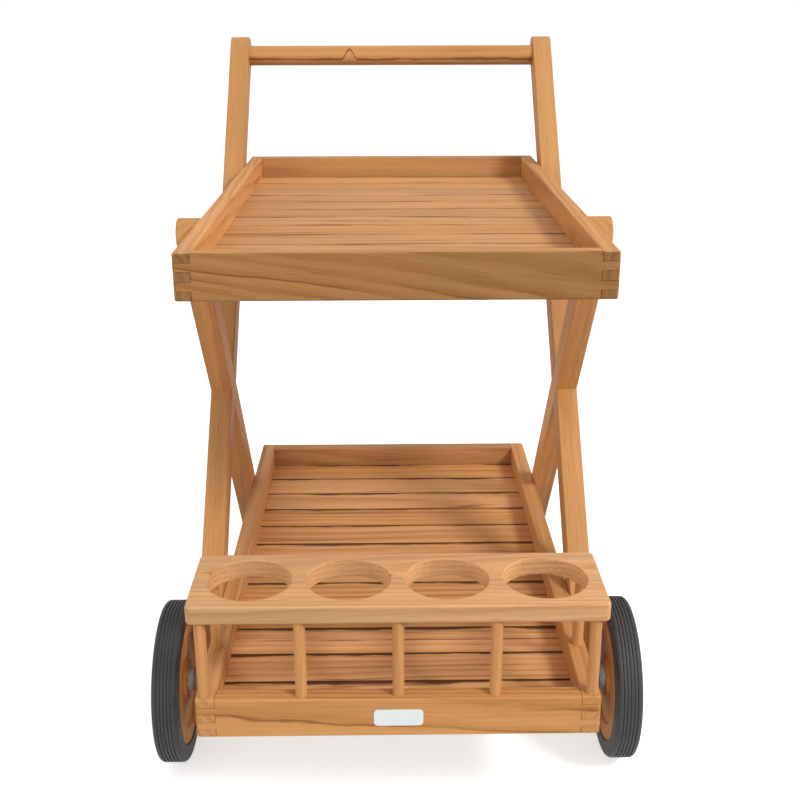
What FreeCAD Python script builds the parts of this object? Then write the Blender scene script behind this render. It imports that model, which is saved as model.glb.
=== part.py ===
# Wooden serving cart: two crossed-leg side frames carry two slatted trays, a bottle rack,
# a round push handle and a pair of rubber-tyred wooden wheels on one axle.
# Millimetres. +Z is up, -Y is the front (bottle rack and wheels), +X is the right-hand side
# seen from the front. The origin is on the floor, under the middle of the overall box.

import FreeCAD, Part
import math
import os

from FreeCAD import Vector

# Trays: both have one width; the bottom one, which carries the posts, has thicker boards
tray_width = 450.0
top_tray_length = 741.0
top_rim_height = 50.0
top_rim_thickness = 18.0
top_rim_z = 676.5             # upper edge above the floor
top_slat_lip = 9.0            # wood under the slats, down to the rim's lower edge
top_tray_setback = 45.0       # behind the front of the bottom tray
bottom_tray_length = 762.0
bottom_rim_height = 48.0
bottom_rim_thickness = 21.5
bottom_rim_z = 186.5
bottom_slat_lip = 8.0
finger_count = 5              # layers in each corner's finger joint
corner_radius = 4.0
rim_edge_radius = 2.0

# Slatted floors, housed in grooves of the side boards
slat_count = 12
slat_gap = 3.2
slat_thickness = 10.0
slat_edge_radius = 1.4
groove_depth = 6.0

# Legs, cut level below, rounded on top and halved into each other where they cross
leg_thickness = 29.0
leg_width = 38.0
leg_edge_radius = 2.0
handle_leg_lean = 41.64       # degrees from upright, leaning to the rear
handle_leg_top_z = 858.0
handle_leg_end = 32.0         # axle's centre down to the lower end
foot_leg_lean = 37.13         # degrees from upright, leaning to the front
foot_leg_drop = 2.5           # top tray's upper edge down to the leg's top
foot_setback = 747.0          # tray front to the leg's middle on the floor

# Handle
handle_radius = 15.0
handle_drop = 28.0            # leg's top down to the handle's centre
tenon_radius = 10.0
tenon_length = 18.0

# Bottle rack
rack_overhang = 4.5           # past each side of the tray
rack_rise = 116.0             # bottom tray's upper edge to the board's top
rack_thickness = 22.0
rack_corner_radius = 7.0
rack_edge_radius = 3.0
bottle_radius = 47.0
bottle_edge_radius = 1.5
bottle_side_wall = 14.5       # wood in front of and behind each hole
bottle_end_wall = 16.9        # wood outside the end holes
bottle_web = 12.0             # least wood between two holes
post_radius = 6.5
post_socket = 10.0            # depth of each post's glue hole
post_inset = 9.5              # post's centre behind the rim boards' outer faces
rear_post_inset = 12.0        # post's centre in front of the board's rear edge

# Wheels and axle
wheel_radius = 100.0
tyre_thickness = 20.0
tyre_width = 31.0
tyre_shoulder = 5.0
tread_groove_count = 5
tread_groove_width = 2.0
tread_groove_depth = 1.8
disc_width = 28.0
disc_edge_radius = 2.0
disc_recess_depth = 3.5
disc_ring_width = 19.0        # flat ring left outside the recess
disc_boss_radius = 24.0       # flat boss left inside the recess
axle_radius = 6.0
axle_setback = 174.0          # tray front to the axle's centre
bush_radius = 9.5
collar_radius = 14.5
collar_length = 7.5
collar_edge_radius = 3.0
washer_radius = 12.0
washer_thickness = 1.5
cap_radius = 12.5
cap_height = 6.5
cap_wall = 2.5
cap_crown_radius = 4.5

# Bolts that hold the trays to the legs, their inserts, and the screws at the crossings
bolt_radius = 3.0
bolt_head_radius = 7.5
bolt_head_height = 3.5
bolt_head_edge = 1.2
bolt_socket_radius = 2.3
bolt_socket_depth = 2.2
bolt_recess = 0.5             # head's top under the leg's outer face
insert_radius = 4.5
insert_length = 11.0
screw_radius = 2.2
screw_head_radius = 4.5
screw_cover = 5.0             # wood left between the screw's tip and the inner face

# Bare label plate, let into the front board
plate_width = 55.0
plate_height = 21.0
plate_thickness = 1.0
plate_proud = 0.4
plate_corner_radius = 5.0

# Clearances
glue_clearance = 0.08         # around dowels, posts, screws, inserts and the plate
finger_gap = 0.5              # beside each finger of a front or rear board
groove_clearance = 0.3        # above and at the ends of each slat
bolt_clearance = 0.3          # around a bolt in a leg
run_clearance = 0.05          # between axle and bush, on the radius
side_clearance = 0.3          # between a turning face and a fixed one
overcut = 1.0                 # how far a cutting shape runs past a face

# Places worked out from the sizes above
handle_tan = math.tan(math.radians(handle_leg_lean))
foot_tan = math.tan(math.radians(foot_leg_lean))
handle_leg_half = leg_width / 2 / math.cos(math.radians(handle_leg_lean))
foot_leg_half = leg_width / 2 / math.cos(math.radians(foot_leg_lean))
axle_z = wheel_radius
leg_end_radius = leg_width / 2
rear_reach = axle_setback + (handle_leg_top_z - leg_end_radius - axle_z) * handle_tan + leg_end_radius
front_y = -(rear_reach - plate_proud) / 2
axle_y = front_y + axle_setback
foot_y = front_y + foot_setback
foot_leg_top_z = top_rim_z - foot_leg_drop
handle_z = handle_leg_top_z - handle_drop
half_width = tray_width / 2
leg_outer_x = half_width + leg_thickness
lap_x = half_width + leg_thickness / 2
bolt_seat_x = leg_outer_x - bolt_recess - bolt_head_height
post_x = half_width - post_inset
plate_z = bottom_rim_z - bottom_rim_height / 2
rack_top_z = bottom_rim_z + rack_rise
rack_half_width = half_width + rack_overhang
rack_depth = 2 * (bottle_radius + bottle_side_wall)
bottle_row = 2 * (rack_half_width - bottle_end_wall)
bottle_count = int((bottle_row + bottle_web) // (2 * bottle_radius + bottle_web))
disc_radius = wheel_radius - tyre_thickness
disc_inner_x = leg_outer_x + washer_thickness + side_clearance + collar_length
disc_outer_x = disc_inner_x + disc_width
wheel_mid_x = (disc_inner_x + disc_outer_x) / 2
cap_x = disc_outer_x + side_clearance + washer_thickness


def handle_leg_y(z):
    """Middle of the handle leg at height z."""
    return axle_y + (z - axle_z) * handle_tan


def foot_leg_y(z):
    """Middle of the foot leg at height z."""
    return foot_y - z * foot_tan


crossing_z = (foot_y - handle_leg_y(0)) / (handle_tan + foot_tan)
crossing_y = foot_leg_y(crossing_z)


# General shapes


def box(x0, x1, y0, y1, z0, z1):
    return Part.makeBox(x1 - x0, y1 - y0, z1 - z0, Vector(x0, y0, z0))


def rod_x(radius, x0, x1, y, z):
    return Part.makeCylinder(radius, x1 - x0, Vector(x0, y, z), Vector(1, 0, 0))


def rod_z(radius, x, y, z0, z1):
    return Part.makeCylinder(radius, z1 - z0, Vector(x, y, z0), Vector(0, 0, 1))


def axle_rod(radius, x0, x1):
    return rod_x(radius, x0, x1, axle_y, axle_z)


def mirrored(shape):
    return shape.mirror(Vector(0, 0, 0), Vector(1, 0, 0))


def both_sides(shapes):
    """The shapes of the right-hand side with their left-hand twins."""
    return shapes + [mirrored(shape) for shape in shapes]


def cut_all(shape, tools):
    return shape.cut(Part.makeCompound(tools))


def edges_along(shape, direction):
    """Straight edges that lie along a direction."""
    found = []
    for edge in shape.Edges:
        if edge.Curve.TypeId == "Part::GeomLine":
            if abs(abs(edge.tangentAt(edge.FirstParameter).dot(direction)) - 1) < 1e-6:
                found.append(edge)
    return found


def edges_at_x(shape, x):
    return [e for e in shape.Edges if all(abs(v.X - x) < 1e-6 for v in e.Vertexes)]


def edges_at_z(shape, z):
    return [e for e in shape.Edges if all(abs(v.Z - z) < 1e-6 for v in e.Vertexes)]


def turned(profile):
    """Solid turned about the axle from a closed profile of (x, radius) pairs.
    A step of three pairs is an arc, which starts where the step before it ended."""

    def place(pair):
        return Vector(pair[0], axle_y, axle_z + pair[1])

    edges = []
    last = profile[0]
    for step in profile[1:]:
        if isinstance(step[0], tuple):
            edges.append(Part.Arc(place(step[0]), place(step[1]), place(step[2])).toShape())
            last = step[2]
        else:
            edges.append(Part.LineSegment(place(last), place(step)).toShape())
            last = step
    face = Part.Face(Part.Wire(edges))
    return face.revolve(Vector(0, axle_y, axle_z), Vector(1, 0, 0), 360)


# Bolts, inserts and screws


def bolt_places():
    """(y, z) of each bolt on one side: both legs at the top tray, then at the bottom tray."""
    top_z = top_rim_z - top_rim_height / 2
    bottom_z = bottom_rim_z - bottom_rim_height / 2
    return [(leg_y(z), z) for z in (top_z, bottom_z) for leg_y in (handle_leg_y, foot_leg_y)]


def tray_bolt(y, z):
    """Low round-headed bolt with a six-sided socket."""
    head_x = bolt_seat_x + bolt_head_height
    head = rod_x(bolt_head_radius, bolt_seat_x, head_x, y, z)
    head = head.makeFillet(bolt_head_edge, edges_at_x(head, head_x))
    shank = rod_x(bolt_radius, half_width - insert_length, bolt_seat_x, y, z)
    corners = []
    for i in range(7):
        angle = math.radians(60 * i)
        spread = Vector(0, math.cos(angle), math.sin(angle)).multiply(bolt_socket_radius)
        corners.append(Vector(head_x, y, z).add(spread))
    socket = Part.Face(Part.makePolygon(corners)).extrude(Vector(-bolt_socket_depth, 0, 0))
    return head.fuse(shank).cut(socket).removeSplitter()


def bolt_hole(y, z):
    """Clearance hole through a leg with a counterbore for the head."""
    hole = rod_x(bolt_radius + bolt_clearance, half_width - overcut, leg_outer_x, y, z)
    counterbore = rod_x(bolt_head_radius + bolt_clearance, bolt_seat_x, leg_outer_x + overcut, y, z)
    return hole.fuse(counterbore)


def bolt_insert(y, z):
    sleeve = rod_x(insert_radius, half_width - insert_length, half_width, y, z)
    bore_x = half_width - insert_length - overcut
    return sleeve.cut(rod_x(bolt_radius + glue_clearance, bore_x, half_width + overcut, y, z))


def insert_hole(y, z):
    end_x = half_width - insert_length - glue_clearance
    return rod_x(insert_radius + glue_clearance, end_x, half_width + overcut, y, z)


def lap_screw(clearance=0.0):
    """Countersunk screw through the crossing, from the outer face."""
    shank = screw_radius + clearance
    head = screw_head_radius + clearance
    tip_x = half_width + screw_cover - clearance
    start = Vector(leg_outer_x, crossing_y, crossing_z)
    cone = Part.makeCone(head, shank, head - shank, start, Vector(-1, 0, 0))
    return cone.fuse(rod_x(shank, tip_x, leg_outer_x, crossing_y, crossing_z)).removeSplitter()


# Legs and handle


def leg_bar(middle_y, half, z0, z1):
    """Right-hand leg as a plain leaning bar with a level lower end and a half-round top."""
    end_z = z1 - leg_end_radius
    end = Vector(half_width, middle_y(end_z), end_z)
    along = Vector(0, middle_y(end_z) - middle_y(z0), end_z - z0).normalize() * leg_end_radius
    across = along.cross(Vector(1, 0, 0))
    front = Vector(half_width, middle_y(z0) - half, z0)
    rear = Vector(half_width, middle_y(z0) + half, z0)
    outline = [
        Part.makeLine(front, rear),
        Part.makeLine(rear, end + across),
        Part.Arc(end + across, end + along, end - across).toShape(),
        Part.makeLine(end - across, front),
    ]
    return Part.Face(Part.Wire(outline)).extrude(Vector(leg_thickness, 0, 0))


def eased_leg(stock):
    """A leg with its edges eased, apart from the seams where its flat faces run into the round top."""
    low = stock.BoundBox.ZMin + leg_edge_radius
    edges = [e for e in stock.Edges if e.BoundBox.XLength < leg_edge_radius or e.BoundBox.ZMax < low]
    return stock.makeFillet(leg_edge_radius, edges)


def layer_of(bar, x0, x1):
    """The layer of a bar between two planes."""
    limit = bar.BoundBox
    return bar.common(box(x0, x1, limit.YMin, limit.YMax, limit.ZMin, limit.ZMax))


def leg_pair():
    """Right-hand handle leg and foot leg, halved into each other where they cross."""
    handle_stock = leg_bar(handle_leg_y, handle_leg_half, axle_z - handle_leg_end, handle_leg_top_z)
    foot_stock = leg_bar(foot_leg_y, foot_leg_half, 0, foot_leg_top_z)
    handle_leg = eased_leg(handle_stock).cut(layer_of(foot_stock, half_width, lap_x))
    foot_leg = eased_leg(foot_stock).cut(layer_of(handle_stock, lap_x, leg_outer_x))
    holes = [bolt_hole(y, z) for y, z in bolt_places()] + [lap_screw(glue_clearance)]
    tenon_end = half_width + tenon_length + glue_clearance
    handle_y = handle_leg_y(handle_z)
    tenon_hole = rod_x(tenon_radius + glue_clearance, half_width - overcut, tenon_end, handle_y, handle_z)
    axle_hole = axle_rod(axle_radius + glue_clearance, half_width - overcut, leg_outer_x + overcut)
    return cut_all(handle_leg, holes + [tenon_hole, axle_hole]), cut_all(foot_leg, holes)


def handle_bar():
    """Round bar between the legs, with a tenon into each."""
    y = handle_leg_y(handle_z)
    reach = half_width + tenon_length
    bar = rod_x(handle_radius, -half_width, half_width, y, handle_z)
    return bar.fuse(rod_x(tenon_radius, -reach, reach, y, handle_z)).removeSplitter()


# Trays


class Tray:
    """Places of one tray's rim and floor."""

    def __init__(self, y0, length, rim_height, rim_thickness, rim_z, slat_lip):
        self.y0 = y0
        self.y1 = y0 + length
        self.z0 = rim_z - rim_height
        self.z1 = rim_z
        self.inner_half = half_width - rim_thickness
        self.inner_y0 = self.y0 + rim_thickness
        self.inner_y1 = self.y1 - rim_thickness
        self.slat_z0 = self.z0 + slat_lip
        self.slat_z1 = self.slat_z0 + slat_thickness
        self.slat_pitch = (self.inner_y1 - self.inner_y0) / slat_count


def rim_ring(tray):
    """All four rim boards as one eased ring, before they part at the finger joints."""
    ring = box(-half_width, half_width, tray.y0, tray.y1, tray.z0, tray.z1)
    ring = ring.makeFillet(corner_radius, edges_along(ring, Vector(0, 0, 1)))
    ring = ring.makeFillet(rim_edge_radius, edges_at_z(ring, tray.z1) + edges_at_z(ring, tray.z0))
    z0, z1 = tray.z0 - overcut, tray.z1 + overcut
    ring = ring.cut(box(-tray.inner_half, tray.inner_half, tray.inner_y0, tray.inner_y1, z0, z1))
    inner_top = []
    for edge in edges_at_z(ring, tray.z1):
        middle = edge.CenterOfMass
        in_well = tray.inner_y0 - 1e-6 < middle.y < tray.inner_y1 + 1e-6
        if in_well and abs(middle.x) < tray.inner_half + 1e-6:
            inner_top.append(edge)
    ring = ring.makeFillet(rim_edge_radius, inner_top)
    reach = tray.inner_half + groove_depth
    groove_top = tray.slat_z1 + groove_clearance
    return ring.cut(box(-reach, reach, tray.inner_y0, tray.inner_y1, tray.slat_z0, groove_top))


def cross_board_zone(tray, y0, y1, gap=0.0):
    """Space of a front or rear board: its middle and every second layer of both corners."""
    middle_half = tray.inner_half - gap
    zone = box(-middle_half, middle_half, y0, y1, tray.z0 - overcut, tray.z1 + overcut)
    layer = (tray.z1 - tray.z0) / finger_count
    reach = half_width + overcut
    for i in range(1, finger_count, 2):
        z = tray.z0 + i * layer
        zone = zone.fuse(box(-reach, reach, y0, y1, z + gap, z + layer - gap))
    return zone


def rim_boards(tray):
    """Front, rear, left and right boards of a rim, drilled for what they hold."""
    ring = rim_ring(tray)
    front_span = (tray.y0 - overcut, tray.inner_y0)
    rear_span = (tray.inner_y1, tray.y1 + overcut)
    zones = [cross_board_zone(tray, *front_span), cross_board_zone(tray, *rear_span)]
    left, right = sorted(ring.cut(Part.makeCompound(zones)).Solids, key=lambda board: board.CenterOfMass.x)
    front = ring.common(cross_board_zone(tray, *front_span, finger_gap))
    rear = ring.common(cross_board_zone(tray, *rear_span, finger_gap))
    boards = {"front": front, "rear": rear, "left": left, "right": right}
    holes = both_sides([insert_hole(y, z) for y, z in bolt_places()])
    holes += [post(x, y, glue_clearance) for x, y in post_places().values()]
    holes.append(label_plate(glue_clearance))
    return {name: cut_all(board, holes) for name, board in boards.items()}


def slats(tray):
    """Slats from front to rear, with their top edges eased."""
    end_x = tray.inner_half + groove_depth - groove_clearance
    boards = []
    for i in range(slat_count):
        y0 = tray.inner_y0 + i * tray.slat_pitch + slat_gap / 2
        y1 = y0 + tray.slat_pitch - slat_gap
        slat = box(-end_x, end_x, y0, y1, tray.slat_z0, tray.slat_z1)
        boards.append(slat.makeFillet(slat_edge_radius, edges_at_z(slat, tray.slat_z1)))
    return boards


def label_plate(clearance=0.0):
    """Plain plate with round corners, or the pocket for it."""
    half_x = plate_width / 2 + clearance
    half_z = plate_height / 2 + clearance
    y0 = front_y - plate_proud
    plate = box(-half_x, half_x, y0, y0 + plate_thickness, plate_z - half_z, plate_z + half_z)
    return plate.makeFillet(plate_corner_radius, edges_along(plate, Vector(0, 1, 0)))


# Bottle rack


def post_places():
    """(x, y) of each rack post by name: a row on the front board and one on each side board."""
    places = {}
    step = 2 * post_x / bottle_count
    for i in range(bottle_count + 1):
        places[f"rack_post_front_{i + 1}"] = (i * step - post_x, front_y + post_inset)
    rear_y = front_y + rack_depth - rear_post_inset
    places["rack_post_rear_left"] = (-post_x, rear_y)
    places["rack_post_rear_right"] = (post_x, rear_y)
    return places


def post(x, y, clearance=0.0):
    """Round post from a socket in the rim to a socket in the rack board."""
    foot = bottom_rim_z - post_socket - clearance
    head = rack_top_z - rack_thickness + post_socket + clearance
    return rod_z(post_radius + clearance, x, y, foot, head)


def bottle_xs():
    reach = bottle_row / 2 - bottle_radius
    if bottle_count == 1:
        return [0.0]
    return [(2 * i / (bottle_count - 1) - 1) * reach for i in range(bottle_count)]


def rack_board():
    z0 = rack_top_z - rack_thickness
    board = box(-rack_half_width, rack_half_width, front_y, front_y + rack_depth, z0, rack_top_z)
    board = board.makeFillet(rack_corner_radius, edges_along(board, Vector(0, 0, 1)))
    board = board.makeFillet(rack_edge_radius, edges_at_z(board, rack_top_z) + edges_at_z(board, z0))
    middle_y = front_y + rack_depth / 2
    bores = [rod_z(bottle_radius, x, middle_y, z0 - overcut, rack_top_z + overcut) for x in bottle_xs()]
    board = cut_all(board, bores)
    rims = []
    for edge in board.Edges:
        if edge.Curve.TypeId == "Part::GeomCircle" and abs(edge.Curve.Radius - bottle_radius) < 1e-6:
            rims.append(edge)
    board = board.makeFillet(bottle_edge_radius, rims)
    return cut_all(board, [post(x, y, glue_clearance) for x, y in post_places().values()])


# Wheels and axle


def wheel_disc():
    """Turned wooden disc with a shallow recess on each face between boss and outer ring."""
    depth = disc_recess_depth
    recess_outer = disc_radius - disc_ring_width
    half = [
        (0, bush_radius),
        (0, disc_boss_radius),
        (depth, disc_boss_radius + depth),
        (depth, recess_outer - depth),
        (0, recess_outer),
        (0, disc_radius - disc_edge_radius),
        (disc_edge_radius, disc_radius),
    ]
    inner = [(disc_inner_x + inset, radius) for inset, radius in half]
    outer = [(disc_outer_x - inset, radius) for inset, radius in reversed(half)]
    return turned(inner + outer + inner[:1])


def tyre():
    """Solid rubber tyre with rounded shoulders and grooves round the tread."""
    x0 = wheel_mid_x - tyre_width / 2
    x1 = wheel_mid_x + tyre_width / 2
    shoulder_r = wheel_radius - tyre_shoulder
    bevel = tyre_shoulder * (1 - math.sqrt(0.5))
    bevel_r = wheel_radius - bevel
    tread_x0 = x0 + tyre_shoulder
    tread_x1 = x1 - tyre_shoulder
    profile = [(x0, disc_radius), (x0, shoulder_r)]
    profile.append(((x0, shoulder_r), (x0 + bevel, bevel_r), (tread_x0, wheel_radius)))
    pitch = (tread_x1 - tread_x0) / tread_groove_count
    half = tread_groove_width / 2
    groove_r = wheel_radius - tread_groove_depth
    for i in range(tread_groove_count):
        middle = tread_x0 + (i + 0.5) * pitch
        profile += [(middle - half, wheel_radius), (middle - half / 2, groove_r)]
        profile += [(middle + half / 2, groove_r), (middle + half, wheel_radius)]
    profile.append((tread_x1, wheel_radius))
    profile.append(((tread_x1, wheel_radius), (x1 - bevel, bevel_r), (x1, shoulder_r)))
    profile += [(x1, disc_radius), (x0, disc_radius)]
    return turned(profile)


def wheel_bush():
    """Bush through the disc, with the collar that keeps the wheel off the leg."""
    collar_x = disc_inner_x - collar_length
    collar = axle_rod(collar_radius, collar_x, disc_inner_x)
    collar = collar.makeFillet(collar_edge_radius, edges_at_x(collar, collar_x))
    barrel = axle_rod(bush_radius, disc_inner_x - overcut, disc_outer_x)
    bore = axle_rod(axle_radius + run_clearance, collar_x - overcut, disc_outer_x + overcut)
    return barrel.fuse(collar).cut(bore).removeSplitter()


def axle_washer(x):
    ring = axle_rod(washer_radius, x, x + washer_thickness)
    return ring.cut(axle_rod(axle_radius + glue_clearance, x - overcut, x + washer_thickness + overcut))


def axle_cap():
    """Domed push-on cap over the axle's end."""
    dome = axle_rod(cap_radius, cap_x, cap_x + cap_height)
    dome = dome.makeFillet(cap_crown_radius, edges_at_x(dome, cap_x + cap_height))
    return dome.cut(axle_rod(axle_radius + glue_clearance, cap_x - overcut, cap_x + cap_height - cap_wall))


def axle():
    reach = cap_x + cap_height - cap_wall - glue_clearance
    return axle_rod(axle_radius, -reach, reach)


def build():
    """Every node by name, each a list of solids."""
    nodes = {}
    handle_leg, foot_leg = leg_pair()
    wheel = {"wheel_disc": wheel_disc(), "tyre": tyre(), "wheel_bush": wheel_bush()}
    for name, shape in {"handle_leg": handle_leg, "foot_leg": foot_leg, **wheel}.items():
        nodes[f"{name}_right"] = [shape]
        nodes[f"{name}_left"] = [mirrored(shape)]
    nodes["handle_bar"] = [handle_bar()]
    top_y = front_y + top_tray_setback
    trays = {
        "top": Tray(
            top_y, top_tray_length, top_rim_height, top_rim_thickness, top_rim_z, top_slat_lip),
        "bottom": Tray(
            front_y, bottom_tray_length, bottom_rim_height, bottom_rim_thickness, bottom_rim_z,
            bottom_slat_lip),
    }
    for level, tray in trays.items():
        for place, board in rim_boards(tray).items():
            nodes[f"{level}_rim_{place}"] = [board]
        for i, slat in enumerate(slats(tray)):
            nodes[f"{level}_slat_{i + 1:02d}"] = [slat]
    nodes["rack_board"] = [rack_board()]
    for name, (x, y) in post_places().items():
        nodes[name] = [post(x, y)]
    nodes["axle"] = [axle()]
    nodes["axle_washers"] = both_sides([axle_washer(leg_outer_x), axle_washer(cap_x - washer_thickness)])
    nodes["axle_caps"] = both_sides([axle_cap()])
    nodes["tray_bolts"] = both_sides([tray_bolt(y, z) for y, z in bolt_places()])
    nodes["bolt_inserts"] = both_sides([bolt_insert(y, z) for y, z in bolt_places()])
    nodes["lap_screws"] = both_sides([lap_screw()])
    nodes["label_plate"] = [label_plate()]
    return nodes


def main():
    os.makedirs("parts", exist_ok=True)
    nodes = build()
    for name, shapes in nodes.items():
        solids = [solid for shape in shapes for solid in shape.Solids]
        whole = solids[0] if len(solids) == 1 else Part.makeCompound(solids)
        if not whole.isValid() or len(solids) != len(shapes):
            print("check", name, "valid", whole.isValid(), "solids", len(solids), "of", len(shapes))
        whole.exportStep(f"parts/{name}.step")
    print(f"{len(nodes)} nodes, front y {front_y:.2f}, axle y {axle_y:.2f} z {axle_z:.2f}")
    print(f"foot y {foot_y:.2f}, handle y {handle_leg_y(handle_z):.2f} z {handle_z:.2f}")
    print(f"crossing y {crossing_y:.2f} z {crossing_z:.2f}, bottle holes at x {bottle_xs()}")


main()
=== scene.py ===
import math
import random

import bpy
from mathutils import Euler, Matrix, Vector


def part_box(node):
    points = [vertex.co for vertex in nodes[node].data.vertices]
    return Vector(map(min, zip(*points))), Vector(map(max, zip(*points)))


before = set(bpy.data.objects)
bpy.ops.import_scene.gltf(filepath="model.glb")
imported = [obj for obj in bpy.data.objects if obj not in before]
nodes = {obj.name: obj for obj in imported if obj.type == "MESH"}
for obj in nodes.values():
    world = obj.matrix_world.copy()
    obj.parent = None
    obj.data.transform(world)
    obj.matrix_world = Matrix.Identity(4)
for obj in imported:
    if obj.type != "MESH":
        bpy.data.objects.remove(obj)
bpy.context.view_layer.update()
mm = 0.001  # the frame is in metres
xAxis, yAxis, zAxis = Vector((1, 0, 0)), Vector((0, 1, 0)), Vector((0, 0, 1))
noiseMiddle = (0.35, 0.65)  # where most values of a noise texture lie
noiseWide = (0.3, 0.7)      # where nearly all of them lie
print("frame loaded:", len(nodes), "pieces")


def linear(hexColour, shade=1.0):  # sRGB hex to the linear colour that the shaders work in
    values = [int(hexColour[i:i + 2], 16) / 255 for i in (1, 3, 5)]
    values = [v / 12.92 if v <= 0.04045 else ((v + 0.055) / 1.055) ** 2.4 for v in values]
    return (values[0] * shade, values[1] * shade, values[2] * shade, 1.0)


def grey(level):
    return (level, level, level, 1)


def addNode(tree, kind, sockets=(), stops=(), **settings):  # sockets by name, or as a list in their order
    node = tree.nodes.new("ShaderNode" + kind)
    for name, value in settings.items():
        setattr(node, name, value)
    if stops:  # colour ramp: position and colour pairs
        ramp = node.color_ramp.elements
        while len(ramp) < len(stops):
            ramp.new(0.5)
        for element, (position, colour) in zip(ramp, stops):
            element.position = position
            element.color = colour
    for name, value in sockets.items() if isinstance(sockets, dict) else enumerate(sockets):
        if isinstance(value, bpy.types.Node):  # the first output that is in use
            value = next(output for output in value.outputs if output.enabled)
        if isinstance(value, bpy.types.NodeSocket):
            tree.links.new(value, node.inputs[name])
        else:
            node.inputs[name].default_value = value
    return node


def newMaterial(name):
    material = bpy.data.materials.new(name)
    material.use_nodes = True
    material.node_tree.nodes.clear()
    return material, material.node_tree


def dress(name, material):
    nodes[name].data.materials.clear()
    nodes[name].data.materials.append(material)


def middleOf(name):
    low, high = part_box(name)
    return (low + high) / 2


# Oiled teak, planed and sanded: a solid pattern, so faces, edges and end grain of a board agree.
# Growth rings lie round a pith outside the board, which gives straight lines on one face and
# arches on the other. Fibres and pores are finer than a pixel, so they are drawn coarser to show.
teak = {
    "ringWobble": 9.0,       # mm that a ring strays from round
    "wobbleRun": 190.0,      # mm along the board
    "wobbleAcross": 40.0,    # mm across it
    "fibreRun": 170.0,
    "fibreAcross": 2.4,
    "poreRun": 30.0,
    "poreAcross": 1.4,
    "cloudRun": 300.0,       # slow change of tone
    "cloudAcross": 30.0,
    "broadRun": 510.0,       # a slower one
    "broadAcross": 48.0,
    "lineRun": 210.0,        # stretches where a ring shows as a dark line
    "lineAcross": 17.0,
    "streakRun": 520.0,      # dark mineral streaks
    "streakAcross": 9.0,
    "stainAndShadeRun": 80.0,        # ragged edge of a stain, and of the painted shade along a slat's gap
    "stainAndShadeAcross": 25.0,
    "lateRing": (0.18, 0.88),        # share of a ring where it begins to darken and is darkest
    "lineRing": (0.80, 0.91, 0.98),  # share of a ring where its dark line begins, is darkest and ends
    "lateLeast": 0.35,       # how far the rings fade where they show least
    "fibreBand": (0.25, 0.75),
    "fibreShade": (0.87, 1.10),
    "poreBand": (0.58, 0.74),
    "poreShade": 0.80,
    "broadShade": (0.90, 1.09),
    "fade": 0.09,            # noise range over which a line or streak comes in
    "lineStrength": 0.72,
    "streakStrength": 0.6,
    "knotStretch": 2.4,      # length of a knot's dark spot against its width
    "knotFade": (0.4, 1.1),
    "knotStrength": 0.8,
    "knotShade": 0.8,
    "stainAndShadeRagged": 0.8,      # share of the reach of a stain, and of the painted gap shade
    "stainAndShadeCore": 0.3,
    "stainAndGapShadeTone": 0.6,
    "endFacing": (0.55, 0.95),   # how squarely a face looks along the grain
    "sideFacing": (0.80, 0.98),
    "early": "#D69A5E",
    "late": "#AE6F3A",
    "pale": "#DDB488",       # sapwood side of a board
    "line": "#744623",
    # colour of the painted shade on the handle's lower half, below its dark line
    "lineAndShadeBelow": "#8A552C",
    "ior": 1.5,
    "roughness": (0.50, 0.68),
    "sheen": 0.12,
    "bumpStrength": 0.5,
    "bumpHeight": 0.22,      # mm
}


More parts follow.
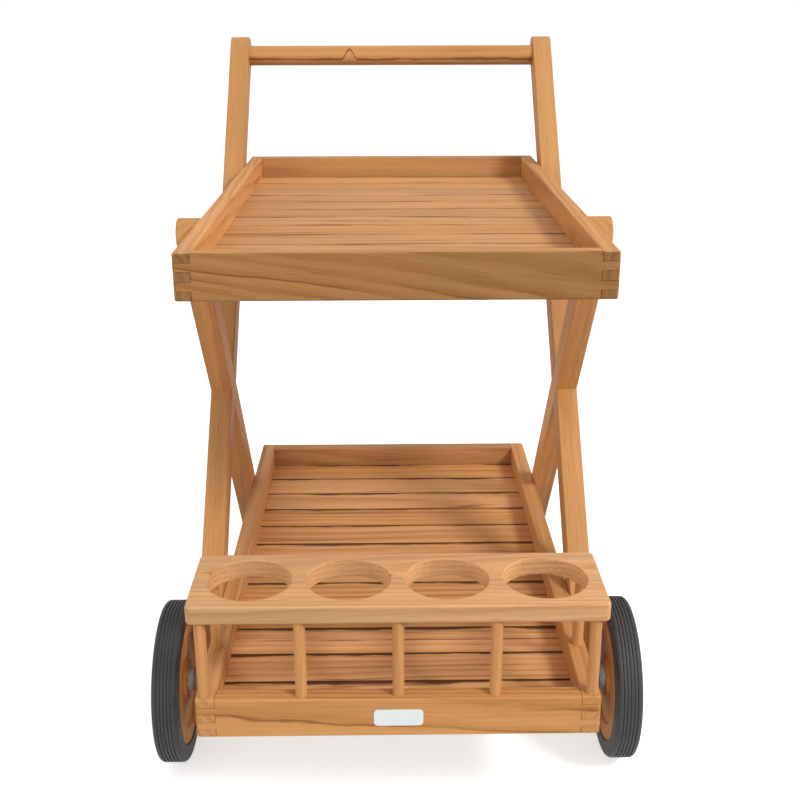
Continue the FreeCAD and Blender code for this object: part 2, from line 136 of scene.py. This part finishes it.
def oiledTeak(name, along, face, look):
    material, tree = newMaterial("oiledTeak_" + name)
    across = face.cross(along)
    tilt = Euler([math.radians(angle) for angle in look["tilt"]]).to_matrix()
    turn = tilt @ Matrix((along, across, face))  # rows: along the grain, across the face, out of it
    pith = Vector(look["pith"])
    shade = look["tone"]
    early = Vector(linear(teak["early"], shade)).lerp(Vector(linear(teak["pale"], shade)), look["pale"])

    place = addNode(tree, "TexCoord")
    grain = addNode(tree, "Mapping", {
        "Vector": place.outputs["Object"], "Location": pith - turn @ (middleOf(name) / mm),
        "Rotation": turn.to_euler(), "Scale": (1 / mm, 1 / mm, 1 / mm)})

    def drawnOut(run, wide, detail):  # noise drawn out along the grain
        size = addNode(tree, "VectorMath", [grain, (1 / run, 1 / wide, 1 / wide)], operation="MULTIPLY")
        return addNode(tree, "TexNoise", {"Vector": size, "Scale": 1.0, "Detail": detail, "Roughness": 0.55})

    # Growth rings
    sway = teak["ringWobble"] * look["wave"]
    wobble = drawnOut(teak["wobbleRun"], teak["wobbleAcross"], 3.0).outputs["Color"]
    bent = addNode(tree, "VectorMath", [wobble, (0, sway, sway), grain], operation="MULTIPLY_ADD")
    flat = addNode(tree, "VectorMath", [bent, (0, 1, 1)], operation="MULTIPLY")
    radius = addNode(tree, "VectorMath", [flat], operation="LENGTH")
    ringCount = addNode(tree, "Math", [radius, look["ringGap"]], operation="DIVIDE")
    ring = addNode(tree, "Math", [ringCount], operation="FRACT")
    lateStart, latePeak = teak["lateRing"]
    lateness = addNode(tree, "ValToRGB", [ring], stops=[
        (0.0, grey(0.25)), (lateStart, grey(0)), (latePeak, grey(1)), (1.0, grey(0.25))])
    lateness.color_ramp.interpolation = "EASE"
    cloud = drawnOut(teak["cloudRun"], teak["cloudAcross"], 2.0)
    depth = look["ringDepth"]
    lateShare = addNode(tree, "MapRange", [cloud, *noiseMiddle, teak["lateLeast"] * depth, depth])
    lateAmount = addNode(tree, "Math", [lateness, lateShare], operation="MULTIPLY")
    colour = addNode(tree, "Mix", {
        "Factor": lateAmount, "A": early, "B": linear(teak["late"], shade)}, data_type="RGBA")

    # Fibres, pores and the change of tone over a board
    fibre = drawnOut(teak["fibreRun"], teak["fibreAcross"], 4.0)
    pore = drawnOut(teak["poreRun"], teak["poreAcross"], 2.0)
    broad = drawnOut(teak["broadRun"], teak["broadAcross"], 1.0)
    fibreShade = addNode(tree, "MapRange", [fibre, *teak["fibreBand"], *teak["fibreShade"]])
    poreShade = addNode(tree, "MapRange", [pore, *teak["poreBand"], 1.0, teak["poreShade"]])
    fineShade = addNode(tree, "Math", [fibreShade, poreShade], operation="MULTIPLY")
    broadShade = addNode(tree, "MapRange", [broad, *noiseWide, *teak["broadShade"]])
    for amount in (fineShade, broadShade):
        colour = addNode(tree, "VectorMath", {0: colour, "Scale": amount}, operation="SCALE")

    # Dark lines and streaks
    lineStart, linePeak, lineEnd = teak["lineRing"]
    ringEdge = addNode(tree, "ValToRGB", [ring], stops=[
        (0.0, grey(0)), (lineStart, grey(0)), (linePeak, grey(1)), (lineEnd, grey(0))])
    stretch = drawnOut(teak["lineRun"], teak["lineAcross"], 2.0)
    lineFrom, streakFrom = look["lineFrom"], look["streakFrom"]
    lineShows = addNode(tree, "MapRange", [
        stretch, lineFrom, lineFrom + teak["fade"], 0.0, teak["lineStrength"]])
    lineAmount = addNode(tree, "Math", [ringEdge, lineShows], operation="MULTIPLY")
    streak = drawnOut(teak["streakRun"], teak["streakAcross"], 3.0)
    streakAmount = addNode(tree, "MapRange", [
        streak, streakFrom, streakFrom + teak["fade"], 0.0, teak["streakStrength"]])
    layers = [(lineAmount, linear(teak["line"], shade)), (streakAmount, linear(teak["line"], shade))]

    if look["lineAndShadeBelow"]:  # a wavy dark line with painted shade below it for the bar's downward-facing half, and a knot that lifts the line
        lineAndShadeBelow = look["lineAndShadeBelow"]
        local = addNode(tree, "VectorMath", [grain, pith], operation="SUBTRACT")  # mm from the middle
        parted = addNode(tree, "SeparateXYZ", [local])
        aside = addNode(tree, "Math", [parted.outputs["X"], lineAndShadeBelow["knotAt"]], operation="SUBTRACT")
        fromKnot = addNode(tree, "Math", [aside], operation="ABSOLUTE")
        lift = addNode(tree, "MapRange", [
            fromKnot, 0.0, lineAndShadeBelow["knotWide"], lineAndShadeBelow["knotRise"], 0.0], interpolation_type="SMOOTHSTEP")
        waviness = drawnOut(lineAndShadeBelow["waveRun"], lineAndShadeBelow["waveAcross"], 3.0)
        wave = addNode(tree, "MapRange", [waviness, *noiseWide, -lineAndShadeBelow["wave"], lineAndShadeBelow["wave"]])
        level = addNode(tree, "Math", [parted.outputs["Z"], lineAndShadeBelow["level"]], operation="SUBTRACT")
        height = addNode(tree, "Math", [level, wave], operation="SUBTRACT")
        paintedShade = addNode(tree, "MapRange", [height, *lineAndShadeBelow["shadeBand"], lineAndShadeBelow["depth"], 0.0])
        unevenness = drawnOut(lineAndShadeBelow["lineRun"], lineAndShadeBelow["waveAcross"], 2.0)
        thick = addNode(tree, "MapRange", [unevenness, *noiseMiddle, *lineAndShadeBelow["lineHalf"]])
        fromLine = addNode(tree, "Math", [height, lift], operation="SUBTRACT")
        apart = addNode(tree, "Math", [fromLine], operation="ABSOLUTE")
        edge = addNode(tree, "Math", [apart, thick], operation="DIVIDE")
        edgeLine = addNode(tree, "MapRange", [edge, lineAndShadeBelow["lineCore"], 1.0, lineAndShadeBelow["lineStrength"], 0.0])
        layers.append((paintedShade, linear(teak["lineAndShadeBelow"], shade)))
        layers.append((edgeLine, linear(teak["line"], shade * lineAndShadeBelow["lineShade"])))
    for knot in look["knots"]:  # place from the middle: along, across and out of the face
        wide = knot["radius"]
        offset = addNode(tree, "VectorMath", [grain, pith + Vector(knot["at"])], operation="SUBTRACT")
        size = (1 / (teak["knotStretch"] * wide), 1 / wide, 1 / wide)
        scaled = addNode(tree, "VectorMath", [offset, size], operation="MULTIPLY")
        reach = addNode(tree, "VectorMath", [scaled], operation="LENGTH")
        spot = addNode(tree, "MapRange", [reach, *teak["knotFade"], teak["knotStrength"], 0.0])
        layers.append((spot, linear(teak["line"], shade * teak["knotShade"])))
    for stain in look["stains"]:  # a dark line or edge square to the board, ragged along it: real stain lines, and on the slats painted shade along the gaps
        reach = stain["reach"]
        fromMiddle = addNode(tree, "VectorMath", [
            place.outputs["Object"], middleOf(name)], operation="SUBTRACT")
        side = addNode(tree, "VectorMath", [fromMiddle, stain["toward"] / mm], operation="DOT_PRODUCT")
        aside = addNode(tree, "Math", [side, stain["at"]], operation="SUBTRACT")
        apart = addNode(tree, "Math", [aside], operation="ABSOLUTE")
        ragged = teak["stainAndShadeRagged"] * reach
        raggedness = drawnOut(teak["stainAndShadeRun"], teak["stainAndShadeAcross"], 3.0)
        shift = addNode(tree, "MapRange", [raggedness, *noiseWide, -ragged, ragged])
        distance = addNode(tree, "Math", [apart, shift], operation="ADD")
        dark = addNode(tree, "MapRange", [distance, teak["stainAndShadeCore"] * reach, reach, stain["amount"], 0.0])
        layers.append((dark, linear(teak["line"], shade * teak["stainAndGapShadeTone"])))
    for amount, tint in layers:
        colour = addNode(tree, "Mix", {"Factor": amount, "A": colour, "B": tint}, data_type="RGBA")

    # End grain, and a board's sides: painted shade darkens a slat's sides for the gaps between slats,
    # a painted highlight lightens the rack's end grain and hole walls, and some boards' other sides are set
    # lighter or darker
    turned = [(along, teak["endFacing"], look["endShade"]), (across, teak["sideFacing"], look["sideShade"])]
    for direction, facingBand, faceShade in turned:
        if faceShade == 1.0:
            continue
        dot = addNode(tree, "VectorMath", [place.outputs["Normal"], direction], operation="DOT_PRODUCT")
        facing = addNode(tree, "Math", [dot], operation="ABSOLUTE")
        amount = addNode(tree, "MapRange", [facing, *facingBand, 1.0, faceShade])
        colour = addNode(tree, "VectorMath", {0: colour, "Scale": amount}, operation="SCALE")

    relief = addNode(tree, "Math", [fibre, poreShade], operation="MULTIPLY")
    bump = addNode(tree, "Bump", {
        "Height": relief, "Strength": teak["bumpStrength"], "Distance": teak["bumpHeight"] * mm})
    gloss = addNode(tree, "MapRange", [fibre, *noiseWide, *teak["roughness"]])
    shader = addNode(tree, "BsdfPrincipled", {
        "Base Color": colour, "Roughness": gloss, "Normal": bump,
        "IOR": teak["ior"], "Specular IOR Level": look["sheen"]})
    addNode(tree, "OutputMaterial", {"Surface": shader})
    return material


chance = random.Random(27)


def boardLook(**changes):
    look = {
        "tone": chance.uniform(0.93, 1.05),
        "pale": chance.uniform(0.0, 0.35),
        "ringGap": chance.uniform(6.0, 13.0),        # mm
        "ringDepth": chance.uniform(0.35, 0.75),
        "wave": chance.uniform(0.8, 1.5),
        "lineFrom": chance.uniform(0.55, 0.68),      # lower shows more dark lines
        "streakFrom": chance.uniform(0.64, 0.76),    # lower shows more streaks
        "sideShade": 1.0,
        "endShade": 0.76,
        "tilt": (0.0, chance.uniform(-1.8, 1.8), chance.uniform(-0.8, 0.8)),  # degrees
        "pith": (chance.uniform(-4000, 4000), chance.uniform(-70, 70), chance.uniform(30, 120)),  # mm
        "sheen": teak["sheen"],
        "lineAndShadeBelow": None,
        "knots": [],
        "stains": [],
    }
    look.update(changes)
    return look


# Slats: painted shade runs along each slat's rear edge for the gap behind it, and one slat of the bottom
# tray has two dark lines
slats = {
    "count": 12,
    # painted light: the bottom tray's slats are lighter for the light that reaches them under the top tray
    "levelToneAndLight": {"top": 1.0, "bottom": 1.08},
    "tone": (0.88, 1.12),
    "pale": (0.0, 0.3),
    # painted shade: each slat's sides are darkened for the narrow gap between slats
    "sideShade": 0.2,
    "lineFrom": (0.46, 0.6),
    "streakFrom": (0.56, 0.72),
    # painted shade: a dark ragged band along each slat's rear edge, beside the gap
    "edge": {"toward": yAxis, "at": 28.0, "reach": 5.0, "amount": 1.0},  # mm from the middle
    "lines": {"bottom_slat_03": [{"toward": yAxis, "at": 0.0, "reach": 1.4, "amount": 0.8},
                                 {"toward": yAxis, "at": 14.0, "reach": 1.2, "amount": 0.4}]},
}
for level in ("top", "bottom"):
    for number in range(1, slats["count"] + 1):
        slatName = f"{level}_slat_{number:02d}"
        slatLook = boardLook(
            tone=slats["levelToneAndLight"][level] * chance.uniform(*slats["tone"]),
            pale=chance.uniform(*slats["pale"]), sideShade=slats["sideShade"],
            lineFrom=chance.uniform(*slats["lineFrom"]), streakFrom=chance.uniform(*slats["streakFrom"]),
            stains=[slats["edge"], *slats["lines"].get(slatName, [])])
        dress(slatName, oiledTeak(slatName, xAxis, zAxis, slatLook))
print("slats dressed")

# Rim boards: grain direction, face that shows most, and what differs on single boards
rims = {"front": (xAxis, -yAxis), "rear": (xAxis, -yAxis), "left": (yAxis, xAxis), "right": (yAxis, -xAxis)}
rimChanges = {
    "top_rim_front": {"tone": 0.6, "pale": 0.0, "ringGap": 9.0, "ringDepth": 0.65, "lineFrom": 0.5,
                      "sideShade": 1.5, "wave": 1.6, "tilt": (0, 1.0, 8.0), "pith": (310, -60, 60)},
    "top_rim_rear": {"tone": 0.76, "pale": 0.2, "ringDepth": 0.4},
    "top_rim_left": {"endShade": 0.45},
    "top_rim_right": {"endShade": 0.45},
    "bottom_rim_front": {"tone": 1.05, "pale": 0.0, "ringDepth": 0.5, "lineFrom": 0.44, "ringGap": 8.0,
                         "sideShade": 0.88},
    # painted shade: the bottom tray's rear board is darker for the shadow of the top tray
    "bottom_rim_rear": {"tone": 0.78},
    "bottom_rim_left": {"endShade": 0.95},
    "bottom_rim_right": {"endShade": 0.95},
}
for level in ("top", "bottom"):
    for side, (along, face) in rims.items():
        rimName = f"{level}_rim_{side}"
        dress(rimName, oiledTeak(rimName, along, face, boardLook(**rimChanges.get(rimName, {}))))
print("rims dressed")

# Legs: the lean of each is taken from its own box
legs = {
    "kinds": {"handle_leg": {"lean": 1, "tone": 0.88}, "foot_leg": {"lean": -1, "tone": 1.12}},  # 1 is back
    "ringGap": (9, 14),  # mm
    "shared": {"pale": 0.08, "ringDepth": 0.4, "lineFrom": 0.62},
    "endRadius": 19,     # mm, of the round upper end
}


def legDirection(name, leanSign):
    low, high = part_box(name)
    endRadius = legs["endRadius"] * mm
    rise, run = high.z - low.z, high.y - low.y
    lean = math.atan2(run, rise)
    for _ in range(8):  # the box holds the round end and half the slanted width as well
        lean = math.atan2(run - endRadius - endRadius / math.cos(lean), rise - endRadius)
    return Vector((0, math.sin(lean) * leanSign, math.cos(lean)))


for side in ("left", "right"):
    for kind, leg in legs["kinds"].items():
        legName = f"{kind}_{side}"
        along = legDirection(legName, leg["lean"])
        legLook = boardLook(tone=leg["tone"], ringGap=chance.uniform(*legs["ringGap"]), **legs["shared"])
        dress(legName, oiledTeak(legName, along, along.cross(xAxis), legLook))

# Handle: a wavy dark line runs along its front, over a small knot, with painted shade on the lower half
# below it
handle = {
    "tone": 0.86, "pale": 0.1, "ringDepth": 0.35, "streakFrom": 0.74, "tilt": (0, 0, 0),
    "lineAndShadeBelow": {  # mm, from the middle of the bar
        # painted shade below the line: the band it fades in over, and how dark it gets
        "level": -5.0, "shadeBand": (-6.0, 0.5), "depth": 0.2,
        "knotAt": -66.0, "knotWide": 13.0, "knotRise": 15.0,
        "wave": 1.6, "waveRun": 60.0, "waveAcross": 200.0,
        "lineHalf": (1.3, 3.2), "lineRun": 45.0, "lineCore": 0.3, "lineStrength": 0.75, "lineShade": 0.8,
    },
}
dress("handle_bar", oiledTeak("handle_bar", xAxis, zAxis, boardLook(**handle)))
print("legs and handle dressed")

# Bottle rack
rack = {
    "tone": 1.1, "pale": 0.55, "sideShade": 0.88, "ringDepth": 0.4, "streakFrom": 0.74, "lineFrom": 0.6,
    # painted highlight: the end grain, the hole walls among it, is lighter than the face, as if lit from the
    # side
    "endShade": 1.1, "knots": [{"at": (-12, 8, 10), "radius": 3.5}],  # mm
}
posts = {"pale": 0.05, "ringDepth": 0.3, "ringGap": 9.0, "streakFrom": 0.78, "lineFrom": 0.68}
postTone = (0.98, 1.06)
dress("rack_board", oiledTeak("rack_board", xAxis, zAxis, boardLook(**rack)))
for postName in sorted(n for n in nodes if n.startswith("rack_post")):
    postLook = boardLook(tone=chance.uniform(*postTone), **posts)
    dress(postName, oiledTeak(postName, zAxis, xAxis, postLook))
print("bottle rack dressed")

# Wheel discs: the left one's higher tone is painted light, lifting it out of the cart's shadow
discs = {"pale": 0.0, "ringDepth": 0.4, "sheen": 0.09}
discToneAndLight = {"left": 1.42, "right": 1.15}
for side, tone in discToneAndLight.items():
    discName = f"wheel_disc_{side}"
    dress(discName, oiledTeak(discName, zAxis, xAxis, boardLook(tone=tone, **discs)))
print("wheel discs dressed")


# Moulded rubber with a little carbon black: dark grey and dull, with pale grey in the tread grooves
rubber = {
    "colour": "#2F2F2F", "worn": "#3B3B3B", "grooveGrey": "#7C7C7A",
    "patch": 9.0, "grit": 0.9,       # mm
    "patchBand": (0.40, 0.75),
    "roughness": (0.55, 0.75),
    "ior": 1.52,
    "grooveDepth": 1.8, "ribTop": 0.5,  # mm below the tread where the pale grey is thickest, and where it ends
    "sideFacing": (0.2, 0.5),        # the pale grey lies on what faces outward, and not on the tyre's sides
    "grooveGreyAmount": 0.9,
    "bumpStrength": 0.3, "bumpHeight": 0.1,
}


def mouldedRubber(name):
    material, tree = newMaterial("mouldedRubber_" + name)
    low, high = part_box(name)
    hub = (low + high) / 2
    tread = (high.z - low.z) / 2
    place = addNode(tree, "TexCoord")
    patch = addNode(tree, "TexNoise", {
        "Vector": place.outputs["Object"], "Scale": 1 / (rubber["patch"] * mm), "Detail": 4.0})
    patchStart, patchEnd = rubber["patchBand"]
    colour = addNode(tree, "ValToRGB", [patch], stops=[
        (patchStart, linear(rubber["colour"])), (patchEnd, linear(rubber["worn"]))])
    fromHub = addNode(tree, "VectorMath", [place.outputs["Object"], (0, hub.y, hub.z)], operation="SUBTRACT")
    flat = addNode(tree, "VectorMath", [fromHub, (0, 1, 1)], operation="MULTIPLY")
    radius = addNode(tree, "VectorMath", [flat], operation="LENGTH")
    inGroove = addNode(tree, "MapRange", [
        radius, tread - rubber["grooveDepth"] * mm, tread - rubber["ribTop"] * mm, 1.0, 0.0])
    parted = addNode(tree, "SeparateXYZ", [place.outputs["Normal"]])
    sideways = addNode(tree, "Math", [parted.outputs["X"]], operation="ABSOLUTE")
    onTread = addNode(tree, "MapRange", [sideways, *rubber["sideFacing"], rubber["grooveGreyAmount"], 0.0])
    greyInGroove = addNode(tree, "Math", [inGroove, onTread], operation="MULTIPLY")
    mixed = addNode(tree, "Mix", {
        "Factor": greyInGroove, "A": colour, "B": linear(rubber["grooveGrey"])}, data_type="RGBA")
    grit = addNode(tree, "TexNoise", {
        "Vector": place.outputs["Object"], "Scale": 1 / (rubber["grit"] * mm), "Detail": 2.0})
    gloss = addNode(tree, "MapRange", [patch, *noiseWide, *rubber["roughness"]])
    bump = addNode(tree, "Bump", {
        "Height": grit, "Strength": rubber["bumpStrength"], "Distance": rubber["bumpHeight"] * mm})
    shader = addNode(tree, "BsdfPrincipled", {
        "Base Color": mixed, "Roughness": gloss, "Normal": bump, "IOR": rubber["ior"]})
    addNode(tree, "OutputMaterial", {"Surface": shader})
    return material


# Small fittings: nylon is moulded, pale and half dull; zinc plate on steel and turned brass are
# bright and faintly clouded; the aluminium plate is satin, with no grain that shows
fittings = {
    "mouldedNylon": {
        "colour": "#D8F0FA", "dark": "#CCE4EE", "metal": 0.0, "roughness": (0.40, 0.55), "grit": 1.6},
    "zincPlatedSteel": {
        "colour": "#B9BCBE", "dark": "#A2A6A9", "metal": 1.0, "roughness": (0.28, 0.42), "grit": 3.0},
    "turnedBrass": {
        "colour": "#C9A45C", "dark": "#B48E48", "metal": 1.0, "roughness": (0.25, 0.40), "grit": 2.0},
    "satinAluminium": {
        "colour": "#C4C7C9", "dark": "#C0C3C5", "metal": 1.0, "roughness": (0.40, 0.44), "grit": 9.0},
}
fittingBump = {"strength": 0.2, "height": 0.05}  # mm


def fitting(name):
    look = fittings[name]
    material, tree = newMaterial(name)
    place = addNode(tree, "TexCoord")
    cloud = addNode(tree, "TexNoise", {
        "Vector": place.outputs["Object"], "Scale": 1 / (look["grit"] * mm), "Detail": 4.0})
    cloudStart, cloudEnd = noiseMiddle
    colour = addNode(tree, "ValToRGB", [cloud], stops=[
        (cloudStart, linear(look["dark"])), (cloudEnd, linear(look["colour"]))])
    gloss = addNode(tree, "MapRange", [cloud, *noiseWide, *look["roughness"]])
    bump = addNode(tree, "Bump", {
        "Height": cloud, "Strength": fittingBump["strength"], "Distance": fittingBump["height"] * mm})
    shader = addNode(tree, "BsdfPrincipled", {
        "Base Color": colour, "Roughness": gloss, "Normal": bump, "Metallic": look["metal"]})
    addNode(tree, "OutputMaterial", {"Surface": shader})
    return material


nylon = fitting("mouldedNylon")
steel = fitting("zincPlatedSteel")
for side in ("left", "right"):
    dress(f"tyre_{side}", mouldedRubber(f"tyre_{side}"))
    dress(f"wheel_bush_{side}", nylon)
dress("axle_caps", nylon)
for name in ("axle", "axle_washers", "tray_bolts", "lap_screws"):
    dress(name, steel)
dress("bolt_inserts", fitting("turnedBrass"))
dress("label_plate", fitting("satinAluminium"))
print("wheels and fittings dressed")


# Stage: a pale painted floor that the camera sees as white, with the cart's own soft shadow
stage = {
    "size": 30.0, "drop": 0.2,  # m across, and mm below the wheels
    "floor": "#F0F0F0", "lift": 0.62, "bounce": "#B4B4B4", "skyLight": 0.64,
}


def seenRays(tree):  # 1 where the camera looks, straight or by way of a reflection
    path = addNode(tree, "LightPath")
    straight = addNode(tree, "Math", [
        path.outputs["Is Camera Ray"], path.outputs["Is Glossy Ray"]], operation="MAXIMUM")
    return addNode(tree, "Math", [straight, path.outputs["Is Transmission Ray"]], operation="MAXIMUM")


def paleFloor():
    corner = stage["size"] / 2
    corners = [(-corner, -corner, 0), (corner, -corner, 0), (corner, corner, 0), (-corner, corner, 0)]
    mesh = bpy.data.meshes.new("floor")
    mesh.from_pydata(corners, [], [(0, 1, 2, 3)])
    floor = bpy.data.objects.new("floor", mesh)
    floor.location.z = -stage["drop"] * mm
    bpy.context.scene.collection.objects.link(floor)
    material, tree = newMaterial("palePaintedFloor")
    bounce = addNode(tree, "BsdfDiffuse", {"Color": linear(stage["bounce"])})
    paint = addNode(tree, "BsdfDiffuse", {"Color": linear(stage["floor"])})
    glow = addNode(tree, "Emission", {"Strength": stage["lift"]})
    lifted = addNode(tree, "AddShader", [paint, glow])
    shader = addNode(tree, "MixShader", [seenRays(tree), bounce, lifted])
    addNode(tree, "OutputMaterial", {"Surface": shader})
    mesh.materials.append(material)


def softSky():
    world = bpy.data.worlds.new("softSky")
    bpy.context.scene.world = world
    world.use_nodes = True
    tree = world.node_tree
    tree.nodes.clear()
    dim = addNode(tree, "Background", {"Color": grey(1), "Strength": stage["skyLight"]})
    backdrop = addNode(tree, "Background", {"Color": grey(1), "Strength": 1.0})
    mix = addNode(tree, "MixShader", [seenRays(tree), dim, backdrop])
    addNode(tree, "OutputWorld", {"Surface": mix})


# Lamps: place and size in metres, power in watts, all turned to the middle of the cart
lamps = {
    "keyPanel": {"place": (2.5, -2.5, 3.2), "size": 1.0, "power": 117},
    "fillPanel": {"place": (-3.2, -2.2, 1.3), "size": 2.4, "power": 26},
}
lampAim = Vector((0, 0, 0.4))


def softLamps():
    for name, look in lamps.items():
        light = bpy.data.lights.new(name, "AREA")
        light.size = look["size"]
        light.energy = look["power"]
        lamp = bpy.data.objects.new(name, light)
        lamp.location = look["place"]
        lamp.rotation_euler = (lampAim - lamp.location).to_track_quat("-Z", "Y").to_euler()
        bpy.context.scene.collection.objects.link(lamp)


# Camera: where the photograph was taken from
view = {
    "place": (-11.9, -1067.5, 913.1),  # mm: across, from the front board's face, above the floor
    "down": 19.452, "right": 0.759, "roll": -0.122,  # degrees
    "lens": 50.94, "sensor": 36.0,  # mm
}


def photoCamera():
    data = bpy.data.cameras.new("photoCamera")
    data.lens = view["lens"]
    data.sensor_width = view["sensor"]
    camera = bpy.data.objects.new("photoCamera", data)
    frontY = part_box("bottom_rim_front")[0].y
    across, ahead, height = view["place"]
    camera.location = (across * mm, frontY + ahead * mm, height * mm)
    turn = Matrix.Rotation(-math.radians(view["right"]), 3, "Z")
    tip = Matrix.Rotation(math.radians(90 - view["down"]), 3, "X")
    roll = Matrix.Rotation(math.radians(view["roll"]), 3, "Z")
    camera.rotation_euler = (turn @ tip @ roll).to_euler()
    bpy.context.scene.collection.objects.link(camera)
    bpy.context.scene.camera = camera


paleFloor()
softSky()
softLamps()
photoCamera()
bpy.context.scene.view_settings.view_transform = "Standard"
print("stage, lamps and camera set")
